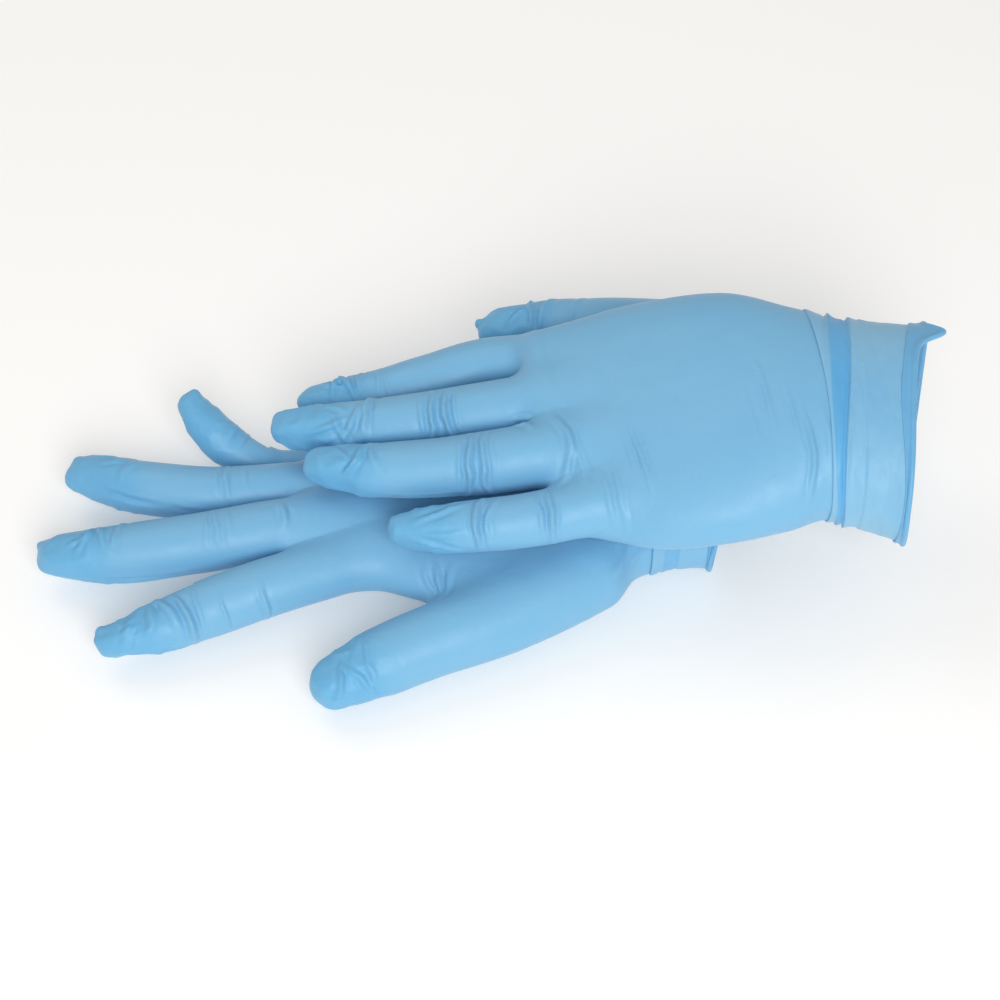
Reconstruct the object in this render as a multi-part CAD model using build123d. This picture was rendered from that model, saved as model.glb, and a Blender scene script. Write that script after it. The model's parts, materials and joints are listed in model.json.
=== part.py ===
"""A pair of thin single-use nitrile gloves in the shape that they keep when worn.

The right glove lies palm down on its spread fingers. The left glove lies palm down across its back.
Each glove is a hollow skin, split where it flexes: a hand body with a short root for each digit, a
thumb and four finger stalls that bend at those roots, a wrist cuff, and the rolled bead that ends it.

+X runs from the fingertips to the cuffs, +Y from the right thumb to the left thumb, and +Z is up.
The origin is on the supporting surface, below the middle of the pair. Lengths are in millimetres.
"""

from build123d import *
from math import cos, radians, sin
import os

WALL = 1.0  # thickness of the solid skin that stands in for a much thinner film
ROOT_GAP = 0.4  # between the hand body and a stall, on the stall's hinge line
FINGER_ROOT = 5.0  # from the hand's finger end back to where the finger roots begin
THUMB_ROOT = 14.0  # from the thumb's hinge line back to where its root begins
THUMB_SPACE = 13.2  # radius of the space that takes the thumb's root out of the hand
BEAD_LENGTH = 2.4  # along the glove
BEAD_PROUD = 0.8  # how far the bead stands out of the cuff
BEAD_ROUND = 1.0

# How far each stall bends from rest. Up is the lift of its tip, and down the drop towards the palm.
# A thumb turns in the plane of the palm: out is away from the index finger.
BEND_UP = {"right": 18, "left": 22}
BEND_DOWN = {"right": 5, "left": 0}
THUMB_IN = {"right": 16, "left": 8}
THUMB_OUT = {"right": 8, "left": 14}

# Down the middle of each digit: x, y, z and radius, from the knuckle to the centre of the tip's dome.
DIGITS = {
    "right": {
        "index": [(-44, -18, 15, 8.8), (-76, -30, 16, 10.2), (-98, -38.4, 14, 9.6),
                  (-116, -45.2, 12, 8.6), (-128, -49.2, 10.5, 7.4)],
        "middle": [(-44, 0, 15, 10.4), (-76, -7, 17.6, 10.2), (-103, -12.2, 16.6, 10.1),
                   (-128, -14.8, 14.6, 9.4), (-147.5, -15, 13.2, 7.9)],
        "ring": [(-44, 16, 14, 9.6), (-76, 13.3, 14.6, 9.3), (-99, 11, 15.2, 9.2),
                 (-122, 14, 15.2, 8.7), (-140, 19, 14.2, 7.4)],
        "little": [(-42, 31.5, 12.5, 6.6), (-72, 31.2, 8.8, 7.3), (-86, 29.8, 9.8, 7.4),
                   (-94.5, 32.2, 14, 7.4), (-100, 36, 18, 7.2), (-105.5, 42.2, 22, 6.4)],
        "thumb": [(30, -21, 15.5, 10.4), (4, -40.5, 15, 12.2), (-23, -52, 14.2, 11.8),
                  (-40, -59.8, 12.7, 10.9), (-54, -66.5, 11, 9.0)],
    },
    "left": {
        "index": [(34, 39.5, 52, 9.0), (-2, 45.6, 43, 9.7), (-24, 42, 38.8, 9.2),
                  (-46, 38.1, 35.6, 8.1), (-62, 36.8, 33.8, 6.9)],
        "middle": [(36, 24, 51.5, 11.0), (-2, 21.5, 47, 9.9), (-24, 20, 43.4, 9.6),
                   (-50, 19.7, 39.7, 8.9), (-69.3, 21.2, 37.3, 7.8)],
        "ring": [(40, 5, 50, 11.4), (4, -0.2, 46.4, 10.6), (-16, -1.5, 44.4, 9.9),
                 (-40, -0.6, 41.4, 9.1), (-57, 2.6, 39, 7.6)],
        "little": [(48, -15.5, 46.5, 9.6), (14, -22.6, 43.1, 9.0), (-6, -24.2, 41, 8.5),
                   (-20, -24, 38.8, 7.8), (-30, -23, 37.6, 6.6)],
        "thumb": [(95, 30, 58, 10.0), (62, 53.5, 47.5, 13.0), (27, 65, 39.6, 11.4),
                  (14, 67.2, 37, 10.3), (2.5, 69, 34.2, 8.9)],
    },
}
ROOT_STATION = {"index": 1, "middle": 1, "ring": 1, "little": 1, "thumb": 2}  # where a stall begins

# Oval sections of the hand body, from the finger webs to the wrist: the centre's x, y and z, half the
# width, half the thickness, the roll that lifts the +Y edge, and the yaw that moves that edge to +X.
HAND = {
    "right": [(-62, 4, 15, 32, 9.0, 0, 9), (-48, 6, 14.5, 37, 12.0, 0, 7), (-20, 4, 15, 40, 14.0, 0, 4),
              (8, -1, 15, 41, 14.5, 0, 2), (30, 2.2, 15.5, 37.2, 15.0, 0, 3), (48, 6.4, 16, 31.2, 15.5, 0, 5)],
    "left": [(14, 12.3, 47.3, 37, 10.5, 10, -13), (30, 11, 48.5, 42, 13.5, 12, -9), (52, 9.5, 53, 45.5, 16, 13, -4),
             (76, 8, 57, 44.8, 17.5, 14, 0), (96, 7.4, 58.5, 40.6, 20, 14, 2), (110, 7, 58.5, 37, 22, 14, 4)],
}
CUFF = {
    "right": [(48, 6.4, 16, 31.2, 15.5, 0, 5), (62, 9, 16, 29.8, 15.8, 0, 7), (77, 10.7, 16.5, 31, 16.2, 0, 9.4)],
    "left": [(110, 7, 58.5, 37, 22, 14, 4), (126, 4.5, 57.5, 37, 22.3, 14, 7), (136.2, 2, 57.5, 38.3, 23, 14, 9.5)],
}
SIDES = ("right", "left")
FINGERS_TOWARDS_Y = {"right": ("index", "middle", "ring", "little"), "left": ("little", "ring", "middle", "index")}


def oval_plane(section):
    """The plane of a section: its x runs across the hand, and its normal points to the wrist."""
    x, y, z, _, _, roll, yaw = section
    normal = Vector(cos(radians(yaw)), -sin(radians(yaw)), 0)
    level = Vector(sin(radians(yaw)), cos(radians(yaw)), 0)
    across = level * cos(radians(roll)) + Vector(0, 0, 1) * sin(radians(roll))
    return Plane(origin=(x, y, z), x_dir=across, z_dir=normal)


def oval(section, inset=0.0):
    """A section's face, smaller by inset all round."""
    return oval_plane(section) * Ellipse(section[3] - inset, section[4] - inset)


def shifted_oval(section, inset, shift):
    """A section's face, smaller by inset and moved along its own normal."""
    face = oval(section, inset)
    return face.moved(Location(oval_plane(section).z_dir * shift))


def centreline(digit):
    return Spline(*[station[:3] for station in digit])


def circles(digit, inset=0.0):
    """Round faces at a digit's stations, square to its centreline and smaller by inset."""
    line = centreline(digit)
    faces = []
    for x, y, z, radius in digit:
        along = line.tangent_at(line.param_at_point(Vector(x, y, z)))
        faces.append(Plane(origin=(x, y, z), x_dir=(0, 0, 1), z_dir=along) * Circle(radius - inset))
    return faces


def digit_solid(digit, first, inset=0.0):
    """A digit from its station number first to its domed tip."""
    x, y, z, radius = digit[-1]
    return loft(circles(digit, inset)[first:]) + Pos(x, y, z) * Sphere(radius - inset)


def root_frame(side, name):
    """The point on a stall's hinge line at its middle, the way the stall points, and the hinge's axis.
    A positive turn about the axis lifts a finger, and swings a thumb away from the index finger."""
    digit = DIGITS[side][name]
    line = centreline(digit)
    point = Vector(*digit[ROOT_STATION[name]][:3])
    along = line.tangent_at(line.param_at_point(point))
    if name == "thumb":
        axis = Vector(0, 0, 1) if side == "right" else Vector(0, 0, -1)
    else:
        axis = along.cross(Vector(0, 0, 1)).normalized()
    return point, along, axis


def root_limits(side, name):
    """The least and greatest turn about the hinge's axis, in degrees."""
    if name == "thumb":
        return -THUMB_IN[side], THUMB_OUT[side]
    return -BEND_DOWN[side], BEND_UP[side]


def stall(side, name):
    """A hollow finger or thumb. Its root slopes away from the hinge line, so that it can turn."""
    digit = DIGITS[side][name]
    first = ROOT_STATION[name]
    skin = digit_solid(digit, first) - digit_solid(digit, first, WALL)
    point, along, axis = root_frame(side, name)
    for turn in root_limits(side, name):
        slope = along.rotate(Axis((0, 0, 0), axis), -turn)
        skin = skin.split(Plane(origin=point, z_dir=slope), keep=Keep.TOP)
    return skin


def stub(side, name, inset, reach):
    """The solid from a digit's knuckle to reach beyond its hinge line, for the hand body's outside or inside."""
    digit = DIGITS[side][name]
    faces = circles(digit, inset)[: ROOT_STATION[name] + 1]
    _, along, _ = root_frame(side, name)
    last = faces[-1].moved(Location(along * reach))
    return loft(faces[:-1] + [last])


def hand_skin(side):
    """The hollow hand, open at the wrist and into every digit."""
    sections = HAND[side]
    outside = loft([oval(section) for section in sections])
    inside = loft(
        [shifted_oval(sections[0], WALL, WALL)]
        + [oval(section, WALL) for section in sections[1:-1]]
        + [shifted_oval(sections[-1], WALL, WALL)]
    )
    for name in DIGITS[side]:
        outside += stub(side, name, 0, -ROOT_GAP)
        inside += stub(side, name, WALL, WALL)
    return outside - inside


def plane_between(side, name, neighbour):
    """The upright plane midway between two fingers, facing +Y."""
    root, knuckle = (
        (Vector(*DIGITS[side][name][k][:3]) + Vector(*DIGITS[side][neighbour][k][:3])) / 2 for k in (1, 0)
    )
    run = knuckle - root
    return Plane(origin=root, z_dir=Vector(-run.Y, run.X, 0).normalized())


def hand_nodes(side):
    """The hand's skin as solids that meet face to face: the hand body, and a short root to each digit."""
    skin = hand_skin(side)
    point, along, _ = root_frame(side, "thumb")
    thumb_space = Plane(origin=point - along * THUMB_ROOT, z_dir=along) * Cylinder(
        THUMB_SPACE, THUMB_ROOT + 1, align=(Align.CENTER, Align.CENTER, Align.MIN)
    )
    nodes = {f"{side}_thumb_root": skin & thumb_space}
    skin -= thumb_space
    knuckles = oval_plane(HAND[side][0]).offset(FINGER_ROOT)
    nodes[f"{side}_hand_body"] = skin.split(knuckles, keep=Keep.TOP)
    fingers = skin.split(knuckles, keep=Keep.BOTTOM)
    order = FINGERS_TOWARDS_Y[side]
    for name, neighbour in zip(order, order[1:]):
        middle = plane_between(side, name, neighbour)
        nodes[f"{side}_{name}_root"] = fingers.split(middle, keep=Keep.BOTTOM)
        fingers = fingers.split(middle, keep=Keep.TOP)
    nodes[f"{side}_{order[-1]}_root"] = fingers
    return nodes


def cuff(side):
    sections = CUFF[side]
    return loft([oval(section) for section in sections]) - loft([oval(section, WALL) for section in sections])


def cuff_bead(side):
    """The cuff's rolled edge, a ring that stands out all round."""
    rim = CUFF[side][-1]
    ring = oval(rim, -BEAD_PROUD) - oval(rim, WALL)
    bead = extrude(ring, BEAD_LENGTH, dir=oval_plane(rim).z_dir)
    outer_edges = bead.edges().sort_by(SortBy.LENGTH)[-2:]
    return fillet(outer_edges, BEAD_ROUND)


def assembly():
    """Every sub-part by its node's name."""
    parts = {}
    for side in SIDES:
        parts.update(hand_nodes(side))
        parts[f"{side}_cuff"] = cuff(side)
        parts[f"{side}_cuff_bead"] = cuff_bead(side)
        for name in DIGITS[side]:
            suffix = "thumb" if name == "thumb" else f"{name}_finger"
            parts[f"{side}_{suffix}"] = stall(side, name)
    return parts


def main():
    """Moves the pair onto its origin and writes one file per node."""
    os.makedirs("parts", exist_ok=True)
    parts = assembly()
    box = Compound(list(parts.values())).bounding_box()
    onto_origin = Pos(-box.center().X, -box.center().Y, -box.min.Z)
    for node, shape in parts.items():
        export_step(onto_origin * shape, f"parts/{node}.step")


main()
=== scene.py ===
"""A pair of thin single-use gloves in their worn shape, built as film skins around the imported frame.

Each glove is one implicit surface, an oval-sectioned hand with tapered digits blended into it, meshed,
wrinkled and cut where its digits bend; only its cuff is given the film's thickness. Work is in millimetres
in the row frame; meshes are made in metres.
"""

import json
import math
import re

import bpy
import numpy as np
import openvdb
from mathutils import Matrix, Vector


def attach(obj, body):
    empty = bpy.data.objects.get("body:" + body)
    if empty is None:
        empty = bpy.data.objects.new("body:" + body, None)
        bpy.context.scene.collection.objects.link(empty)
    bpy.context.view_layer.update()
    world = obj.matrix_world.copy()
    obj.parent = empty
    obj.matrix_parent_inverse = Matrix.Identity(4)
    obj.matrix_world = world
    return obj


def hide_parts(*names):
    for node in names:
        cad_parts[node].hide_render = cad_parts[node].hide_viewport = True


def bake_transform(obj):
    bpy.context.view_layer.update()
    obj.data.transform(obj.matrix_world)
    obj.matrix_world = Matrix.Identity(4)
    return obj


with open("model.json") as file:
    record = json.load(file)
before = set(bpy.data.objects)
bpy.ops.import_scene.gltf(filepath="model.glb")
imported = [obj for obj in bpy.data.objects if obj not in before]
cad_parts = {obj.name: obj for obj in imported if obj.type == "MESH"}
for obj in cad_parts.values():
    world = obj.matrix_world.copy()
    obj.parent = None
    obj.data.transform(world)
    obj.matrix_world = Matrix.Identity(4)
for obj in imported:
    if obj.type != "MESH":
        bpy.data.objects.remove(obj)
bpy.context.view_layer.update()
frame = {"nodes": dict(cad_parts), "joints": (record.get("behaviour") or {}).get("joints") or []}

GRID = 0.64  # spacing of the meshing grid
FILM = 0.28  # thickness of the modelled film
COARSE = 4  # coarse grid cells per fine cell along one side
HAND_BLEND = {"finger": 5.5, "thumb": 9.0}  # fillet between the hand and a digit
OWN_REACH = 2.5  # how near a digit's own shape a point lies to belong to it
TUCK = 6  # how far the hand's film runs on below the cuff's first pleat
CUFF_COLUMN, CUFF_ROW = 0.66, 0.45  # spacing of the cuff's points round the wrist and along it

# Down each digit: x, y, z and radius from the knuckle to the tip dome's centre. They follow the CAD
# model's, within about 2 mm, with the film's own shape in place of the plain solid's.
DIGITS = {
    "right": {
        "index": [(-44, -17, 15, 9.2), (-76, -30, 16, 9.8), (-98, -38.4, 14, 9.6),
                  (-116, -45.6, 12.1, 8.2), (-127, -47.5, 11.6, 7.5)],
        "middle": [(-44, 0, 15, 10.4), (-76, -7, 17.6, 10.2), (-103, -12.2, 16.6, 10.1),
                   (-128, -14.8, 14.6, 9.7), (-147, -15, 13.2, 8.5)],
        "ring": [(-44, 16, 14, 9.6), (-76, 13.3, 14.6, 9.3), (-99, 11, 15.2, 9.2),
                 (-122, 13.8, 15, 9.1), (-139.5, 18.6, 14, 8.3)],
        "little": [(-42, 31.5, 12.5, 7.4), (-72, 29.4, 8.0, 6.0), (-83, 29.6, 9.6, 6.4),
                   (-91.4, 31.8, 12.6, 7.0), (-98.8, 36, 17.2, 7.6), (-105.5, 42.2, 22, 7.2)],
        "thumb": [(32, -26, 15.5, 10.8), (4, -40.7, 15, 12.3), (-23, -52, 14.2, 11.9),
                  (-40, -59.8, 12.7, 11.2), (-54, -66.5, 11, 9.0)],
    },
    "left": {
        "index": [(34, 39.5, 52, 9.6), (-2, 45.6, 43, 9.7), (-24, 42, 38.8, 9.2),
                  (-46, 37.7, 35.5, 8.1), (-62, 36.2, 33.7, 7.0)],
        "middle": [(36, 24, 51.5, 11.0), (-2, 21.5, 47, 9.9), (-24, 20, 43.4, 9.6),
                   (-50, 19.7, 39.7, 8.9), (-69.3, 21.2, 37.3, 7.8)],
        "ring": [(40, 5, 50, 11.4), (4, -0.2, 46.4, 10.6), (-16, -1.5, 44.4, 9.9),
                 (-40, -0.6, 41.4, 9.1), (-57, 2.6, 39, 7.6)],
        "little": [(48, -15.5, 46.5, 9.6), (14, -22.6, 43.1, 9.0), (-6, -24.2, 41, 8.5),
                   (-20, -24, 38.8, 7.8), (-30, -23, 37.6, 6.6)],
        "thumb": [(95, 30, 58, 10.0), (62, 53.5, 47.5, 13.0), (27, 65, 39.6, 11.4),
                  (14, 67.2, 37, 10.3), (2.5, 69, 34.2, 8.9)],
    },
}
FACETS = 9  # flats on each fingertip
# How far each tip's dome reaches beyond its centre, in tip radii.
REACH = {
    "right": {"index": 1.04, "middle": 1.15, "ring": 1.34, "little": 1.08, "thumb": 0.87},
    "left": {"index": 1.1, "middle": 1.14, "ring": 1.15, "little": 1.0, "thumb": 1.1},
}
# Where each fingertip's spare film is pinched to a corner: forward, up and sideways, in tip radii, and the
# corner's own radius.
BEAKS = {
    "right": {"index": (0.6, 0.1, 0.2, 2.0), "middle": (1.0, 0.28, 0.4, 1.0), "ring": (0.95, 0.3, 0.5, 1.5),
              "little": (0.8, 0.3, 0.38, 1.2), "thumb": (0.6, 0.0, -0.15, 1.6)},
    "left": {"index": (0.82, 0.1, 0.1, 1.6), "middle": (0.75, 0.3, 0.35, 1.6), "ring": (0.78, 0.25, 0.3, 1.6),
             "little": (0.74, 0.05, 0.05, 1.9), "thumb": (1.05, 0.45, 0.2, 1.2)},
}
ROOT_STATION = {"index": 1, "middle": 1, "ring": 1, "little": 1, "thumb": 2}

# Oval sections of the hand and cuff: centre x, y, z, half width, half thickness, roll and yaw.
HANDS = {
    "right": [(-60, 5, 15, 31, 9.0, 0, 9), (-48, 8.9, 14.5, 34.0, 12.0, 0, 7),
              (-20, 4.7, 15, 39.3, 14.0, 0, 4),
              (8, -1, 15, 41, 14.5, 0, 2), (30, 2, 15.5, 37.4, 15.0, 0, 3), (48, 6.8, 16, 30.8, 15.5, 0, 5),
              (62, 9.6, 16, 29.2, 15.8, 0, 7), (80, 11.2, 16.5, 31.2, 16.2, 0, 9.8)],
    "left": [(21, 12, 47.6, 38.5, 10.5, 11, -12), (32, 11, 48.8, 42, 13.5, 12, -9),
             (52, 9.9, 53, 45.9, 16, 13, -4),
             (76, 9.2, 57.4, 45.5, 17.5, 14, 0), (96, 7.3, 58.6, 39.9, 20, 14, 2),
             (110, 7, 58.5, 35.2, 21.4, 14, 4),
             (126, 3.9, 57.5, 36.7, 22.3, 14, 7), (139, 1.1, 57.5, 38.7, 23, 14, 10)],
}
NAMES = ("index", "middle", "ring", "little", "thumb")

joints = {j["name"]: j for j in frame["joints"]}
hinge = np.array(joints["right_index_finger_bend"]["pos_m"]) * 1000
SHIFT = hinge - np.array(DIGITS["right"]["index"][1][:3])  # from the tables' places to the row frame


def node_of(side, name):
    return f"{side}_thumb" if name == "thumb" else f"{side}_{name}_finger"


# --- noise -----------------------------------------------------------------------------------------


def lattice(ix, iy, iz, seed):
    """A repeatable pseudo-random number from -1 to 1 at each whole-number point."""
    h = (ix * 374761393 + iy * 668265263 + iz * 2147483647 + seed * 974634777) & 0xFFFFFFFF
    h = ((h ^ (h >> 13)) * 1274126177) & 0xFFFFFFFF
    h = ((h ^ (h >> 16)) * 2246822519) & 0xFFFFFFFF
    return (h ^ (h >> 15)) / 2147483647.5 - 1.0


def noise(points, size, seed=0):
    """Smooth value noise from -1 to 1, with lumps about size across."""
    p = points / size
    cell = np.floor(p).astype(np.int64)
    f = p - cell
    w = f * f * f * (f * (f * 6 - 15) + 10)
    total = 0.0
    for dx in (0, 1):
        for dy in (0, 1):
            for dz in (0, 1):
                weight = (
                    np.abs(1 - dx - w[:, 0]) * np.abs(1 - dy - w[:, 1]) * np.abs(1 - dz - w[:, 2])
                )
                total = total + weight * lattice(cell[:, 0] + dx, cell[:, 1] + dy, cell[:, 2] + dz, seed)
    return total


# --- curves and shapes -----------------------------------------------------------------------------


def smooth_rows(rows, step):
    """Catmull-Rom rows between the given ones, about step apart in space (columns 0 to 2)."""
    rows = np.array(rows, float)
    padded = np.vstack([2 * rows[0] - rows[1], rows, 2 * rows[-1] - rows[-2]])
    out = []
    for i in range(1, len(padded) - 2):
        a, b, c, d = padded[i - 1 : i + 3]
        n = max(2, int(np.linalg.norm((c - b)[:3]) / step))
        t = (np.arange(n) / n)[:, None]
        bend, twist = 2 * a - 5 * b + 4 * c - d, 3 * b - a - 3 * c + d
        out.append(0.5 * (2 * b + (c - a) * t + bend * t**2 + twist * t**3))
    out.append(rows[-1:])
    return np.vstack(out)


def smin(a, b, k):
    h = np.maximum(k - np.abs(a - b), 0) / k
    return np.minimum(a, b) - h * h * k * 0.25


def smax(a, b, k):
    return -smin(-a, -b, k)


def unit(v):
    return v / np.linalg.norm(v, axis=-1, keepdims=True)


class Digit:
    """A finger or thumb round a smooth centreline, with a local frame at every point of it."""

    def __init__(self, side, name):
        rows = smooth_rows(DIGITS[side][name], 0.8)
        self.centre = rows[:, :3] + SHIFT
        self.radius = rows[:, 3]
        self.along = unit(np.gradient(self.centre, axis=0))
        up = np.array([0.0, 0.0, 1.0])
        self.up = unit(up - (self.along @ up)[:, None] * self.along)
        self.across = np.cross(self.along, self.up)
        self.length = np.concatenate([[0], np.cumsum(np.linalg.norm(np.diff(self.centre, axis=0), axis=1))])
        self.x = self.centre[:, 0]
        station = np.array(DIGITS[side][name][ROOT_STATION[name]][:3]) + SHIFT
        self.root = np.argmin(np.linalg.norm(self.centre - station, axis=1))
        self.reach = REACH[side][name]
        self.facets = self.make_facets(side, name)
        forward, rise, aside, blunt = BEAKS[side][name]
        r = self.radius[-1]
        self.beak = self.centre[-1] + r * (
            forward * self.along[-1] + rise * self.up[-1] + aside * self.across[-1]
        )
        self.beak_radii = (r * 0.55, blunt)

    def local(self, points):
        """Distance along, offsets across and up, overshoot past either end, and the radius there."""
        best = np.empty(len(points), np.int64)
        half = (self.centre**2).sum(1) * 0.5
        for i in range(0, len(points), 200000):
            best[i : i + 200000] = np.argmin(half - points[i : i + 200000] @ self.centre.T, axis=1)
        offset = points - self.centre[best]
        ahead = (offset * self.along[best]).sum(1)
        s = self.length[best] + ahead
        across = (offset * self.across[best]).sum(1)
        up = (offset * self.up[best]).sum(1)
        over = np.maximum(s - self.length[-1], 0) + np.minimum(s, 0)
        return s, across, up, over, np.interp(s, self.length, self.radius)

    def make_facets(self, side, name):
        """Planes that flatten the loose fingertip where its film is drawn tight between folds."""
        random = np.random.default_rng(len(name) * 31 + (7 if side == "left" else 3))
        planes = []
        for k in range(FACETS):
            back = random.uniform(0, 15)
            tilt = math.radians(random.uniform(9, 34) if back < 6 else random.uniform(8, 16))
            turn = 2 * math.pi * (k + random.uniform(-0.3, 0.3)) / FACETS * 2
            bite = random.uniform(-0.35, 0.2) - (0.6 if back < 6 else 0)
            planes.append((back, tilt, turn, bite))
        planes.append((4.0, math.radians(13), math.radians(90), 0.5))  # over the nail
        rows = []
        for back, tilt, turn, bite in planes:
            i = np.argmin(np.abs(self.length - (self.length[-1] - back)))
            side_way = math.cos(turn) * self.across[i] + math.sin(turn) * self.up[i]
            normal = math.sin(tilt) * self.along[i] + math.cos(tilt) * side_way
            rows.append((normal, self.centre[i] @ normal + self.radius[i] - bite))
        return rows

    def distance(self, points):
        s, u, v, over, r = self.local(points)
        a, b, c = r * 1.03, r * 0.98, r * self.reach
        q = np.sqrt((u / a) ** 2 + (v / b) ** 2 + (over / c) ** 2)
        g = np.sqrt((u / a**2) ** 2 + (v / b**2) ** 2 + (over / c**2) ** 2)
        d = q * (q - 1) / np.maximum(g, 1e-4)
        tip = s > self.length[-1] - 30
        if tip.any():
            near = points[tip]
            faceted = d[tip]
            for normal, offset in self.facets:
                faceted = smax(faceted, near @ normal - offset, 1.8)
            axis = self.beak - self.centre[-1]
            t = np.clip((near - self.centre[-1]) @ axis / (axis @ axis), 0, 1)
            cone = np.linalg.norm(near - self.centre[-1] - t[:, None] * axis, axis=1)
            cone -= self.beak_radii[0] + (self.beak_radii[1] - self.beak_radii[0]) * t
            d[tip] = smin(faceted, cone, 2.2)
        return d

    def at_x(self, x):
        """Distance along the digit at a layout x."""
        order = np.argsort(self.x)
        return np.interp(x + SHIFT[0], self.x[order], self.length[order])


class Hand:
    """The oval tube of a palm, wrist and cuff, closed and rounded at the finger end."""

    POWER = 2.25

    def __init__(self, side):
        rows = smooth_rows(HANDS[side], 1.0)
        rows[:, :3] += SHIFT
        last, before = rows[-1], rows[-12]
        tail = [last + (last - before) * k / 11 for k in range(1, 25)]
        self.rows = np.vstack([rows, tail])

    def local(self, points):
        """Station x, offsets across and through the hand, overshoot past the finger end, half sizes."""
        x = self.rows[:, 0]
        station = points[:, 0].copy()
        for _ in range(3):
            y = np.interp(station, x, self.rows[:, 1])
            yaw = np.radians(np.interp(station, x, self.rows[:, 6]))
            station = points[:, 0] - (points[:, 1] - y) * np.tan(yaw)
        inside = np.maximum(station, x[0])
        y, z, a, b, roll, yaw = (np.interp(inside, x, self.rows[:, k]) for k in range(1, 7))
        roll, yaw = np.radians(roll), np.radians(yaw)
        dy = (points[:, 1] - y) / np.cos(yaw)
        dz = points[:, 2] - z
        u = dy * np.cos(roll) + dz * np.sin(roll)
        v = dz * np.cos(roll) - dy * np.sin(roll)
        return station, u, v, np.minimum(station - x[0], 0), a, b

    def distance(self, points):
        _, u, v, over, a, b = self.local(points)
        n, c = self.POWER, 11.0
        terms = [np.abs(u / a), np.abs(v / b), np.abs(over / c)]
        q = np.maximum(sum(t**n for t in terms) ** (1 / n), 1e-4)
        g = np.sqrt(sum((t ** (n - 1) / s) ** 2 for t, s in zip(terms, (a, b, c)))) * q ** (1 - n)
        return (q - 1) / np.maximum(g, 1e-3)


class Glove:
    def __init__(self, side):
        self.side = side
        self.hand = Hand(side)
        self.digits = {name: Digit(side, name) for name in NAMES}

    def distances(self, points):
        return self.hand.distance(points), {n: d.distance(points) for n, d in self.digits.items()}

    def distance(self, points):
        hand, digits = self.distances(points)
        total = None
        for name, d in digits.items():
            k = HAND_BLEND["thumb" if name == "thumb" else "finger"]
            joined = smin(hand, d, k)
            total = joined if total is None else np.minimum(total, joined)
        return total

    def normal(self, points, reach=0.25):
        out = np.empty_like(points)
        for axis in range(3):
            step = np.zeros(3)
            step[axis] = reach
            out[:, axis] = self.distance(points + step) - self.distance(points - step)
        return out / (2 * reach)

    def mesh(self):
        """Points and four-sided faces of the outside, out to past the cuff's end."""
        low = np.array([min(d.centre[:, k].min() for d in self.digits.values()) for k in range(3)])
        high = np.array([max(d.centre[:, k].max() for d in self.digits.values()) for k in range(3)])
        x, y, z, wide, thick = self.hand.rows[:, :5].T
        low = np.minimum(low, [x.min(), (y - wide).min(), (z - thick - 12).min()])
        high = np.maximum(high, [x[-14], (y + wide).max(), (z + thick + 12).max()])
        low, high = low - [16, 16, 12], high + [0, 16, 12]
        shape = (np.ceil((high - low) / (GRID * COARSE)).astype(int) + 1) * COARSE
        axes = [low[k] + np.arange(0, shape[k], COARSE) * GRID for k in range(3)]
        coarse_points = np.stack(np.meshgrid(*axes, indexing="ij"), -1).reshape(-1, 3)
        coarse = self.distance(coarse_points).reshape([len(a) for a in axes])
        field = coarse.repeat(COARSE, 0).repeat(COARSE, 1).repeat(COARSE, 2).astype(np.float32)
        near = np.abs(coarse) < GRID * COARSE * 1.9
        near = near.repeat(COARSE, 0).repeat(COARSE, 1).repeat(COARSE, 2)
        index = np.argwhere(near)
        field[near] = self.distance(index * GRID + low)
        grid = openvdb.FloatGrid()
        grid.copyFromArray(field)
        points, quads = grid.convertToQuads(isovalue=0.0)
        points = points.astype(float) * GRID + low
        for _ in range(2):
            n = self.normal(points)
            points -= self.distance(points)[:, None] * n / np.maximum((n * n).sum(1), 0.2)[:, None]
        return points, quads.astype(np.int64)


# --- wrinkles --------------------------------------------------------------------------------------

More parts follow.
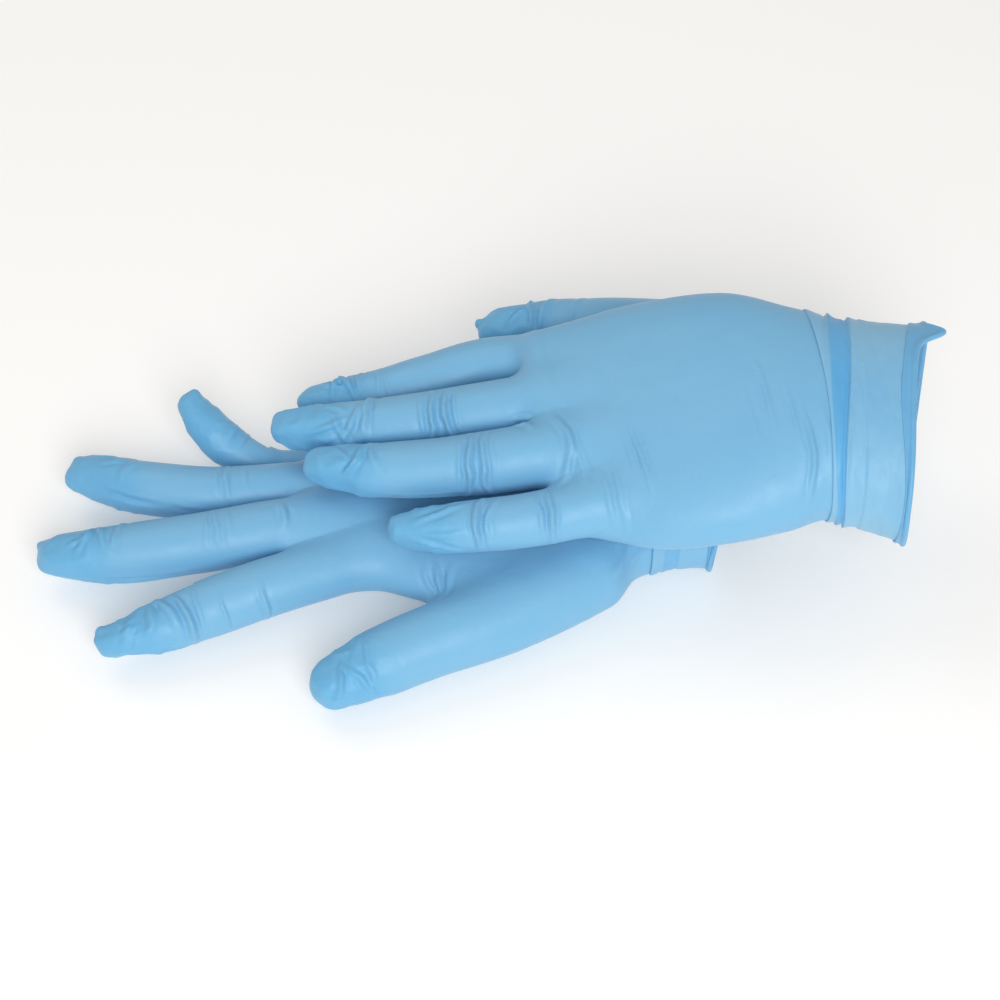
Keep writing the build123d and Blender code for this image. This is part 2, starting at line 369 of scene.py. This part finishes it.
# Folds round a digit: x where it crosses, height, width, angle of its middle, span to each side, slant
# and bow in millimetres per quarter turn. Angles: 0 is the far side, 90 the back, 180 the near side.
RINGS = {
    ("left", "index"): [(-56, 0.7, 0.9, 75, 70, 3, 0), (-51.5, 0.8, 1.0, 85, 75, -4, 1),
                        (-47, 0.5, 0.9, 80, 60, 2, 0),
                        (-41, 0.4, 0.9, 90, 60, 2, 1), (-38, 0.25, 0.7, 100, 60, 0, 0)],
    ("left", "middle"): [(-48, 0.8, 1.4, 110, 80, 7, 1), (-44, 1.0, 1.2, 95, 75, 3, -1),
                         (-52.5, 0.5, 1.4, 140, 70, -6, 1),
                         (-24.8, 0.35, 0.9, 125, 80, 0, -1), (-21.2, 0.95, 1.0, 125, 90, 1, 2.4),
                         (-17.4, 1.05, 1.0, 125, 90, 0.5, -2.4), (-14, 0.4, 0.9, 115, 75, 0, -1)],
    ("left", "ring"): [(-46, 0.7, 1.3, 105, 60, 4, 2), (-41.5, 0.45, 1.2, 90, 60, -4, 0),
                       (-12.4, 0.4, 0.9, 125, 80, 1, 2), (-8.9, 1.15, 1.0, 130, 100, 1.5, 1.8),
                       (-5.5, 0.85, 0.9, 130, 95, 0.5, -2.4), (-2.2, 0.3, 0.9, 110, 60, 0, 0)],
    ("left", "little"): [(-6.6, 1.15, 1.1, 120, 95, 1, -1.5), (-3.2, 0.45, 0.9, 120, 80, 2, -2),
                         (13.4, 0.4, 0.9, 125, 80, 0.5, -1.5), (16.4, 0.95, 1.0, 130, 95, 0.5, 1.2)],
    ("left", "thumb"): [(17, 0.6, 1.1, 100, 80, 3, 0), (13, 0.7, 1.0, 90, 80, -4, 1),
                        (28, 0.3, 1.0, 90, 70, 0, 0)],
    ("right", "index"): [(-122, 0.45, 1.4, 110, 60, 5, 0), (-114.5, 0.65, 1.5, 95, 70, 4, 1),
                         (-109.5, 0.75, 1.4, 90, 75, -3, 1),
                         (-104.2, 1.1, 1.1, 130, 95, -1.5, 1.5), (-100.5, 0.35, 0.9, 110, 70, 0, 0),
                         (-92.5, 0.35, 0.8, 150, 60, 0, 1), (-80.6, 0.5, 0.9, 165, 65, 1, 0)],
    ("right", "middle"): [(-139, 0.5, 1.1, 85, 60, 5, 0), (-133, 0.6, 1.2, 80, 60, -5, 0),
                          (-128, 0.5, 1.0, 75, 60, 3, 0),
                          (-98.5, 0.3, 0.9, 95, 60, 1, 0), (-95, 0.35, 0.9, 95, 65, 0, 0),
                          (-91, 0.25, 0.9, 95, 60, 1, 0)],
    ("right", "ring"): [(-96.5, 0.3, 0.9, 85, 60, 1, 0), (-93.5, 0.45, 0.9, 90, 70, 0, 1),
                        (-88, 0.2, 0.9, 90, 50, 0, 0),
                        (-128, 0.3, 1.2, 90, 50, 4, 0)],
    ("right", "little"): [(-100, 0.2, 0.9, 75, 55, 2, 0), (-96.2, 0.25, 0.9, 70, 60, -2, 0),
                          (-92.4, 0.25, 0.9, 65, 60, 1, 0)],
    ("right", "thumb"): [(-53, 0.6, 1.1, 130, 60, 6, 0), (-47.5, 0.5, 1.1, 140, 60, -5, 1),
                         (-43, 0.35, 1.0, 110, 60, 3, 0)],
}
# Folds along a digit: x and angle at each end, height and width.
SEAMS = {
    ("left", "ring"): [(-38, 205, -11, 200, -0.7, 1.0), (-52, 150, -44, 100, 0.7, 1.0),
                       (-56, 60, -48, 110, 0.6, 1.0)],
    ("left", "middle"): [(-66, 150, -48, 105, 0.7, 1.1), (-62, 190, -47, 160, 0.6, 1.0),
                         (-60, 60, -50, 90, 0.4, 1.0)],
    ("left", "little"): [(-36, 120, -8, 60, 0.7, 1.0), (-36, 160, -10, 200, 0.7, 1.0),
                         (-26, 150, -10, 140, 0.35, 1.0)],
    ("left", "index"): [(-66, 60, -52, 95, 0.5, 1.0)],
    ("right", "middle"): [(-146, 190, -100, 197, -0.6, 1.1), (-150, 110, -136, 70, 0.5, 1.0),
                          (-142, 215, -112, 208, 0.35, 0.9)],
    ("right", "ring"): [(-138, 150, -112, 165, -0.6, 1.0), (-112, 165, -98, 175, -0.4, 1.0),
                        (-143, 80, -128, 60, 0.4, 1.0)],
    ("right", "index"): [(-132, 130, -118, 100, 0.5, 1.0), (-136, 185, -101, 215, 0.4, 0.9)],
    ("right", "thumb"): [(-60, 140, -50, 100, 0.6, 1.0), (-58, 190, -40, 180, 0.3, 1.0)],
    ("left", "thumb"): [(-2, 120, 12, 70, 0.7, 1.0), (0, 160, 14, 150, 0.5, 1.0)],
}
# Folds across a hand's back and web: points along the surface, height and width.
LINES = {
    "left": [
        ([(16, 11, 58), (20, 4, 59), (22.5, -2, 58.5), (22.5, -8, 56), (21, -13, 52),
          (17, -16, 50)], 0.9, 1.3),
        ([(21, 3, 59), (23, -1, 59), (25.5, -9, 56), (27.5, -18.5, 53)], 0.6, 1.2),
        ([(4, 7, 53), (8, 7.5, 56), (10.6, 2.5, 57)], 0.7, 1.1),
        ([(29, -12, 56), (33, -15, 55), (36, -24, 52), (37.5, -31, 44)], 0.45, 1.1),
        ([(33, -9, 58), (37, -15, 57), (40, -25, 52), (41, -33, 45)], 0.35, 1.0),
        ([(42, 2, 63), (46, -12, 61), (50.5, -26, 56)], 0.6, 1.0),
        ([(40, 0, 62), (43, -11, 60), (46, -20, 57)], 0.25, 1.0),
        ([(82, 16, 78), (85, 9, 77.5), (90, -15, 71)], 0.42, 0.8),
        ([(78, 8, 76.5), (82, -8, 73), (86, -20, 67)], 0.22, 0.9),
        ([(92, 6, 78), (95, -8, 75), (98, -20, 69)], 0.36, 0.8),
        ([(97, -2, 77), (100, -12, 74), (100.7, -22, 68), (99.3, -31, 55)], 0.85, 0.9),
        ([(104, 0, 78.5), (105.5, -14, 74), (106, -25, 66)], 0.35, 0.9),
    ],
    "right": [
        ([(-75, -2, 28), (-73, -7, 28), (-72, -11, 27), (-73.5, -15, 25)], 0.7, 1.4),
        ([(-21, -42, 23), (-21, -33, 23), (-21.3, -25, 25.6)], 0.8, 1.1),
        ([(-20, -42, 23), (-18, -33.5, 23.7), (-16, -27, 25.4)], 0.6, 1.0),
        ([(-23, -41, 22), (-25, -33, 23), (-27, -27, 25)], 0.45, 1.0),
        ([(36, -31, 22), (40, -27, 24), (43, -20, 28)], 0.5, 1.2),
        ([(44, -28, 19), (47, -24, 23), (49, -17, 27)], 0.5, 1.1),
    ],
}


def crest(distance, width):
    """A fold's section: a crest with a groove on each side."""
    t = np.abs(distance) / width
    return np.exp(-(t**1.6)) - 0.5 * np.exp(-(((t - 1.7) / 0.75) ** 2))


def fade(t):
    """1 at t = 0, falling smoothly to 0 at t = 1 and beyond."""
    t = np.clip(np.abs(t), 0, 1)
    return (1 - t * t) ** 2


def ramp(value, start, end):
    t = np.clip((value - start) / (end - start), 0, 1)
    return t * t * (3 - 2 * t)


def digit_relief(side, name, digit, points):
    """Height of a digit's folds at points near it, and how slack its film is there."""
    s, u, v, over, r = digit.local(points)
    angle = np.degrees(np.arctan2(v, u))
    wander = noise(points, 6.0, 11) * 0.5 + noise(points, 2.5, 12) * 0.2
    height = np.zeros(len(points))
    for k, (x, tall, wide, middle, span, slant, bow) in enumerate(RINGS[side, name]):
        turn = ((angle - middle + 180) % 360 - 180) / 90
        line = digit.at_x(x) + slant * turn + bow * turn**2
        own = wander + 0.9 * noise(points, 7.5, 70 + k)
        height += 1.75 * tall * crest(s - line + own, wide) * fade(turn * 90 / span)
    for x0, angle0, x1, angle1, tall, wide in SEAMS.get((side, name), []):
        s0, s1 = digit.at_x(x0), digit.at_x(x1)
        t = (s - s0) / (s1 - s0)
        turn = (angle - (angle0 + (angle1 - angle0) * t) + 180) % 360 - 180
        off = np.radians(turn) * r + wander
        height += 1.4 * tall * crest(off, wide) * fade((t - 0.5) * 1.9)
    slack = ramp(s, digit.length[-1] - 24, digit.length[-1] - 8)
    crumple = 1 - 2 * np.abs(noise(points * [1, 1, 1.2], 6.5, 21))
    crumple2 = 1 - 2 * np.abs(noise(points, 3.6, 22))
    height += slack * (0.4 * crumple + 0.13 * crumple2)
    underside = fade((((angle + 90 + 180) % 360) - 180) / 80)
    height += underside * 0.22 * (1 - 2 * np.abs(noise(points * [0.45, 1, 1], 3.2, 23))) * (1 - slack)
    return height, slack


def line_relief(lines, points, normals):
    """Height of the folds that cross a hand."""
    height = np.zeros(len(points))
    wander = noise(points, 7.0, 31) * 0.6
    for route, tall, wide in lines:
        path = smooth_rows(np.array(route, float), 0.6) + SHIFT
        box = (points > path.min(0) - 6).all(1) & (points < path.max(0) + 6).all(1)
        near = points[box]
        best = np.argmin((path**2).sum(1) * 0.5 - near @ path.T, axis=1)
        tangent = unit(np.gradient(path, axis=0))[best]
        off = near - path[best]
        sideways = np.cross(tangent, normals[box])
        across = (off * sideways).sum(1) / np.maximum(np.linalg.norm(sideways, axis=1), 0.2) + wander[box]
        depth = np.linalg.norm(off - (off * tangent).sum(1)[:, None] * tangent, axis=1)
        t = best / (len(path) - 1)
        beyond = np.abs((off * tangent).sum(1))
        height[box] += 1.4 * tall * crest(across, wide) * fade((t - 0.5) * 1.9) * (depth < 6) * (beyond < 2)
    return height


# Stations along each wrist, in layout x, of its pleats and of the rolled lip, by angle round the wrist.
ROUND = (-180, -135, -90, -45, 0, 35, 66, 94, 124, 150, 180)
PLEATS = {
    "left": [((110, 108, 105, 101, 99.5, 100.3, 103.6, 106.8, 108.5, 109.6, 110), 0.8),
             ((113, 112, 111, 109, 107, 106.7, 106.9, 107.7, 109.5, 111.3, 113), 1.3),
             ((115.5, 115, 114, 113, 113, 113.2, 114, 113.8, 113.4, 114.2, 115.5), 1.15),
             ((121, 120, 119, 118, 117, 116.6, 117, 119, 121, 121.5, 121), 0.3)],
    "right": [((54, 53, 52, 51, 50, 50, 51, 52, 53, 54, 54), 0.6),
              ((58, 57.5, 57, 56, 56, 56, 57, 58, 58.5, 58.5, 58), 0.5),
              ((64, 63, 62, 61, 61, 61, 61.5, 62, 63, 64, 64), 0.5)],
}
LIPS = {
    "left": ((134.6, 133, 132, 132, 132, 131, 130, 130, 134, 135.6, 134.6),
             (138.4, 138, 138, 138.2, 138, 135.8, 134.4, 135.3, 137.4, 138, 138.4)),
    "right": ((74.5, 74, 74, 74, 74, 74, 74, 73.5, 74, 74.5, 74.5),
              (76.4, 76.4, 78, 79, 79, 79.5, 79.5, 79, 79.5, 78.6, 76.4)),
}

BEAD = 0.95  # radius of the lip's rolled bead
DOUBLED = {"left": 0.8, "right": 0.35}  # how much deeper the colour is between the second and third pleats
FLARE = {"left": 6.8, "right": 1.0}  # how far the lip's upper corner is drawn out
FLARE_AT, FLARE_WIDTH = 44, 8.5  # that corner's place and width, in degrees round the wrist


def station_round(table, angle):
    """A station from its table by angle in degrees, made smooth round the wrist."""
    total = 0.0
    for spread in (-14, -7, 0, 7, 14):
        total = total + np.interp((angle + spread + 180) % 360 - 180, ROUND, table) / 5
    return total + SHIFT[0]


# --- making ----------------------------------------------------------------------------------------


def piece(name, points, faces, normals=None, slack=None):
    """A smooth-shaded mesh object from millimetre points."""
    mesh = bpy.data.meshes.new(name)
    mesh.from_pydata((points / 1000).tolist(), [], faces.tolist())
    mesh.shade_smooth()
    if slack is not None:
        mesh.attributes.new("slack", "FLOAT", "POINT").data.foreach_set("value", slack.astype(np.float32))
    if normals is not None:
        mesh.normals_split_custom_set_from_vertices(normals.tolist())
    obj = bpy.data.objects.new(name, mesh)
    bpy.context.scene.collection.objects.link(obj)
    return obj


def vertex_normals(points, quads):
    a, b, c, d = (points[quads[:, k]] for k in range(4))
    face = np.cross(c - a, d - b)
    total = np.zeros_like(points)
    for k in range(4):
        np.add.at(total, quads[:, k], face)
    return unit(total + 1e-12)


def part_of(chosen, quads, points, normals, slack):
    """The chosen faces as their own points, faces, normals and slackness."""
    faces = quads[chosen]
    used, back = np.unique(faces, return_inverse=True)
    return points[used], back.reshape(faces.shape), normals[used], slack[used]


def make_hand(glove):
    """The hand and its five digits, cut from one wrinkled surface so that the cuts don't show."""
    side = glove.side
    points, quads = glove.mesh()
    _, distances = glove.distances(points)
    normals = unit(glove.normal(points))
    a, b, c, d = (points[quads[:, k]] for k in range(4))
    if (np.cross(c - a, d - b) * normals[quads[:, 0]]).sum() < 0:
        quads = quads[:, ::-1]
    height = 0.2 * noise(points, 19.0, 41) + 0.06 * noise(points, 7.0, 42)
    slack = np.zeros(len(points))
    for name, digit in glove.digits.items():
        near = np.flatnonzero(np.abs(distances[name]) < 4)
        folds, loose = digit_relief(side, name, digit, points[near])
        share = 1 - ramp(np.abs(distances[name][near]), 1.0, 4.0)
        height[near] += share * folds
        slack[near] = np.maximum(slack[near], share * loose)
    height += line_relief(LINES[side], points, normals)

    station, u, v, _, wide, thick = glove.hand.local(points)
    pleat = station_round(PLEATS[side][0][0], np.degrees(np.arctan2(v / thick, u / wide)))
    height -= 0.45 * ramp(station, pleat - 0.2, pleat + 1.2)
    end = pleat + TUCK
    points = points + normals * height[:, None]
    points[:, 0] -= np.maximum(station - end, 0)
    normals = vertex_normals(points, quads)

    order = list(glove.digits)
    gaps = np.abs([distances[name] for name in order])
    nearest = gaps.argmin(0)
    owner = np.full(len(points), -1)
    for k, name in enumerate(order):
        digit = glove.digits[name]
        beyond = (points - digit.centre[digit.root]) @ digit.along[digit.root] > 0
        owner[(nearest == k) & (gaps[k] < OWN_REACH) & beyond] = k
    face_owner = np.where((owner[quads] == owner[quads[:, :1]]).all(1), owner[quads[:, 0]], -1)
    on_hand = (face_owner < 0) & (station[quads] < end[quads]).any(1)

    obj = piece(f"{side}_hand_film", *part_of(on_hand, quads, points, normals, slack))
    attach(obj, f"{side}_hand")
    covered = [n for n in frame["nodes"] if n == f"{side}_hand_body" or re.fullmatch(side + "_.*_root", n)]
    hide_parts(*covered)
    shown = [obj]
    for k, name in enumerate(order):
        digit = glove.digits[name]
        node = node_of(side, name)
        obj = piece(f"{node}_film", *part_of(face_owner == k, quads, points, normals, slack))
        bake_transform(obj)
        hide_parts(node)
        shown.append(obj)
    return shown


def hand_surface(hand, station, angle, height):
    """Points at a height off a hand's own oval, by station and angle round it."""
    x = hand.rows[:, 0]
    y, z, a, b, roll, yaw = (np.interp(station, x, hand.rows[:, k]) for k in range(1, 7))
    roll, yaw, angle = np.radians(roll), np.radians(yaw), np.radians(angle)
    reach = (np.abs(np.cos(angle)) ** hand.POWER + np.abs(np.sin(angle)) ** hand.POWER) ** (-1 / hand.POWER)
    u, v = a * reach * np.cos(angle), b * reach * np.sin(angle)
    dy, dz = u * np.cos(roll) - v * np.sin(roll), u * np.sin(roll) + v * np.cos(roll)
    base = np.stack([station + dy * np.sin(yaw), y + dy * np.cos(yaw), z + dz], -1)
    flat = base.reshape(-1, 3)
    normal = np.empty_like(flat)
    for axis in range(3):
        step = np.zeros(3)
        step[axis] = 0.4
        normal[:, axis] = hand.distance(flat + step) - hand.distance(flat - step)
    return base + unit(normal).reshape(base.shape) * height[..., None]


def columns(hand, station, spacing):
    """Angles that are evenly spaced along the oval at one station."""
    fine = np.linspace(-180, 180, 2001)
    ring = hand_surface(hand, np.full(2001, float(station)), fine, np.zeros(2001))
    run = np.concatenate([[0], np.cumsum(np.linalg.norm(np.diff(ring, axis=0), axis=1))])
    count = int(run[-1] / spacing)
    return np.interp(np.arange(count) / count * run[-1], run, fine)


def ring_piece(name, grid, slack):
    """A closed skin from a closed profile (first axis) carried right round the wrist (second axis)."""
    rows, count = grid.shape[:2]
    i, j = np.meshgrid(np.arange(rows), np.arange(count), indexing="ij")
    following, next_column = (i + 1) % rows, (j + 1) % count
    faces = np.stack([i * count + j, i * count + next_column,
                      following * count + next_column, following * count + j], -1).reshape(-1, 4)
    return piece(name, grid.reshape(-1, 3), faces, slack=slack.ravel())


def cuff_height(side, station, angle, points):
    """How far the loose cuff film stands off the wrist: overlapping pleats, fine striations, soft waves."""
    height = np.zeros(station.shape)
    for table, tall in PLEATS[side]:
        past = station - station_round(table, angle)
        uneven = 1 + 0.35 * noise(points, 9.0, 51).reshape(station.shape)
        height += tall * uneven * np.where(past > 0, np.exp(-past / 2.2), np.exp(past / 0.35))
        height -= 0.4 * tall * np.exp(-((past + 0.8) ** 2) / 0.4)
    stretched = points * [1.0, 0.35, 0.35]
    height += 0.12 * noise(stretched, 1.6, 52).reshape(station.shape)
    height += 0.28 * noise(stretched, 4.5, 53).reshape(station.shape)
    return height + 0.35 * noise(points, 14.0, 54).reshape(station.shape)


def make_cuff(glove):
    """The loose cuff, from the fold that overlaps the hand to where it runs into the rolled lip."""
    side, hand = glove.side, glove.hand
    first = PLEATS[side][0][0]
    angles = columns(hand, np.mean(first) + SHIFT[0], CUFF_COLUMN)
    start, lip = station_round(first, angles), station_round(LIPS[side][0], angles)
    edge = [(2.0, -0.22), (0.7, -0.1), (0.1, 0.15), (-0.05, 0.4), (0.1, 0.62), (0.45, 0.74)]
    count = int((lip - start).mean() / CUFF_ROW)
    stations = [start + ahead for ahead, _ in edge]
    heights = [np.full(len(angles), h) for _, h in edge]
    for k in range(count + 1):
        s = start + 0.9 + (lip + 1.2 - start - 0.9) * k / count
        flat = hand_surface(hand, s, angles, np.zeros(len(angles)))
        settle = min(1.0, k / 8)
        loose = 0.15 + cuff_height(side, s, angles, flat)
        heights.append(0.74 * (1 - settle) + settle * loose if settle < 1 else loose)
        stations.append(s)
    outer = hand_surface(hand, np.array(stations), np.broadcast_to(angles, (len(stations), len(angles))),
                         np.array(heights))
    inner = hand_surface(hand, np.array(stations), np.broadcast_to(angles, (len(stations), len(angles))),
                         np.array(heights) - FILM)
    grid = np.concatenate([outer, inner[::-1]])
    second, third = (station_round(PLEATS[side][k][0], angles) for k in (1, 2))
    stations = np.array(stations)
    doubled = ramp(stations, second - 0.3, second + 0.3) * (1 - ramp(stations, third - 0.5, third + 0.1))
    slack = 0.2 + DOUBLED[side] * doubled
    obj = ring_piece(f"{side}_cuff_film", grid, np.concatenate([slack, slack[::-1]]))
    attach(obj, f"{side}_hand")
    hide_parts(f"{side}_cuff")
    return obj


def make_lip(glove):
    """The rolled lip: a doubled band that ends in the bead."""
    side, hand = glove.side, glove.hand
    start_table, end_table = LIPS[side]
    angles = columns(hand, np.mean(start_table) + SHIFT[0], CUFF_COLUMN)
    start, end = station_round(start_table, angles), station_round(end_table, angles)
    end += FLARE[side] * np.exp(-(((angles - FLARE_AT) / FLARE_WIDTH) ** 2))
    base = 0.15 + cuff_height(side, start, angles, hand_surface(hand, start, angles, 0 * angles)) * 0.6
    rows = [(0, 0.15, -0.1), (0, -0.02, 0.15), (0, 0.05, 0.42), (0, 0.3, 0.58), (0, 0.7, 0.6)]
    for f in (0.15, 0.3, 0.45, 0.6, 0.75, 0.88, 1):
        rows.append((f, 0.7 * (1 - f) - 2.0 * f, 0.6 - 0.25 * math.sin(math.pi * f)))
    for turn in np.radians(range(125, -126, -25)):
        rows.append((1, -BEAD + BEAD * math.cos(turn), 0.2 + BEAD * math.sin(turn)))
    for f in (0.9, 0.6, 0.3):
        rows.append((f, 0.7 * (1 - f) - 2.0 * f, -0.25))
    grid = []
    for f, ahead, height in rows:
        s = start + (end - start) * f + ahead
        waves = 0.12 * noise(hand_surface(hand, s, angles, 0 * angles), 3.0, 61)
        grid.append(hand_surface(hand, s, angles, base + height + waves))
    grid = np.array(grid)
    obj = ring_piece(f"{side}_cuff_lip", grid, np.full(grid.shape[:2], 1.0))
    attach(obj, f"{side}_hand")
    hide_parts(f"{side}_cuff_bead")
    return obj


# --- the film's finish -----------------------------------------------------------------------------


def linear(red, green, blue):
    """An sRGB colour, 0 to 255, as linear light."""
    levels = np.array([red, green, blue]) / 255
    return (*np.where(levels <= 0.0404, levels / 12.92, ((levels + 0.055) / 1.055) ** 2.4), 1)


def film(name, taut, loose, rough):
    """Satin nitrile: paler where it is stretched, more saturated where it is slack, with a fine grain."""
    material = bpy.data.materials.new(name)
    material.use_nodes = True
    nodes, links = material.node_tree.nodes, material.node_tree.links
    shader = nodes["Principled BSDF"]
    where = nodes.new("ShaderNodeTexCoord").outputs["Object"]

    def texture(scale, detail):
        node = nodes.new("ShaderNodeTexNoise")
        node.inputs["Scale"].default_value = scale
        node.inputs["Detail"].default_value = detail
        links.new(where, node.inputs["Vector"])
        return node.outputs["Fac"]

    def remap(value, low, high, out_low, out_high):
        node = nodes.new("ShaderNodeMapRange")
        ends = {"From Min": low, "From Max": high, "To Min": out_low, "To Max": out_high}
        for socket, number in ends.items():
            node.inputs[socket].default_value = number
        links.new(value, node.inputs["Value"])
        return node.outputs["Result"]

    slack = nodes.new("ShaderNodeAttribute")
    slack.attribute_name = "slack"
    mottle = remap(texture(45, 3), 0.3, 0.7, -0.18, 0.18)
    amount = nodes.new("ShaderNodeMath")
    amount.operation = "ADD"
    amount.use_clamp = True
    links.new(slack.outputs["Fac"], amount.inputs[0])
    links.new(mottle, amount.inputs[1])
    mix = nodes.new("ShaderNodeMix")
    mix.data_type = "RGBA"
    mix.inputs[6].default_value = linear(*taut)
    mix.inputs[7].default_value = linear(*loose)
    links.new(amount.outputs[0], mix.inputs[0])
    links.new(mix.outputs[2], shader.inputs["Base Color"])
    links.new(remap(texture(160, 2), 0.3, 0.7, rough - 0.05, rough + 0.07), shader.inputs["Roughness"])
    shader.inputs["Specular IOR Level"].default_value = 0.42
    shader.inputs["Sheen Weight"].default_value = 0.12
    shader.inputs["Sheen Roughness"].default_value = 0.5

    grain = nodes.new("ShaderNodeBump")
    grain.inputs["Strength"].default_value = 0.5
    grain.inputs["Distance"].default_value = 0.00006
    links.new(texture(1400, 2), grain.inputs["Height"])
    pucker = nodes.new("ShaderNodeBump")
    pucker.inputs["Strength"].default_value = 0.5
    pucker.inputs["Distance"].default_value = 0.00025
    links.new(texture(330, 3), pucker.inputs["Height"])
    links.new(grain.outputs["Normal"], pucker.inputs["Normal"])
    links.new(pucker.outputs["Normal"], shader.inputs["Normal"])
    return material


BODY_FILM = film("nitrile_film", (118, 178, 214), (102, 172, 213), 0.46)
CUFF_FILM = film("nitrile_cuff", (132, 184, 214), (90, 166, 214), 0.46)
LIP_FILM = film("nitrile_lip", (112, 174, 213), (104, 170, 212), 0.43)

for side in HANDS:
    glove = Glove(side)
    for obj in make_hand(glove):
        obj.data.materials.append(BODY_FILM)
    make_cuff(glove).data.materials.append(CUFF_FILM)
    make_lip(glove).data.materials.append(LIP_FILM)


# --- floor, light and camera -----------------------------------------------------------------------


FLOOR_REACH = 4
FLOOR_Z = -0.0004  # just below the lowest film


def floor():
    mesh = bpy.data.meshes.new("floor")
    corners = [(x * FLOOR_REACH, y * FLOOR_REACH, FLOOR_Z) for x, y in ((-1, -1), (1, -1), (1, 1), (-1, 1))]
    mesh.from_pydata(corners, [], [(0, 1, 2, 3)])
    obj = bpy.data.objects.new("floor", mesh)
    bpy.context.scene.collection.objects.link(obj)
    material = bpy.data.materials.new("paper")
    material.use_nodes = True
    shader = material.node_tree.nodes["Principled BSDF"]
    shader.inputs["Base Color"].default_value = (0.875, 0.85, 0.82, 1)
    shader.inputs["Roughness"].default_value = 0.85
    shader.inputs["Emission Color"].default_value = (1, 1, 1, 1)
    shader.inputs["Emission Strength"].default_value = 0.19
    mesh.materials.append(material)


def area(name, at, aim, size, watts):
    light = bpy.data.lights.new(name, "AREA")
    light.shape = "DISK"
    light.size = size
    light.energy = watts
    obj = bpy.data.objects.new(name, light)
    bpy.context.scene.collection.objects.link(obj)
    obj.location = at
    obj.rotation_euler = (Vector(aim) - Vector(at)).to_track_quat("-Z", "Y").to_euler()


floor()
area("key", (0.15, -1.05, 0.85), (0, 0, 0.02), 0.8, 11)
area("fill", (-0.6, 0.5, 1.1), (0, 0, 0.02), 0.8, 2)
world = bpy.data.worlds.new("studio")
bpy.context.scene.world = world
world.use_nodes = True
world.node_tree.nodes["Background"].inputs["Color"].default_value = (0.98, 0.99, 1.0, 1)
world.node_tree.nodes["Background"].inputs["Strength"].default_value = 0.52
bpy.context.scene.view_settings.view_transform = "Standard"

TILT = math.radians(50)
camera = bpy.data.objects.new("camera", bpy.data.cameras.new("camera"))
bpy.context.scene.collection.objects.link(camera)
camera.data.sensor_width = 36
camera.data.lens = 95.58
look = Vector((0, 0, 25)) + Vector(SHIFT.tolist())
camera.location = (look + 900 * Vector((0, -math.cos(TILT), math.sin(TILT)))) / 1000
camera.rotation_euler = (math.pi / 2 - TILT, 0, 0)
bpy.context.scene.camera = camera
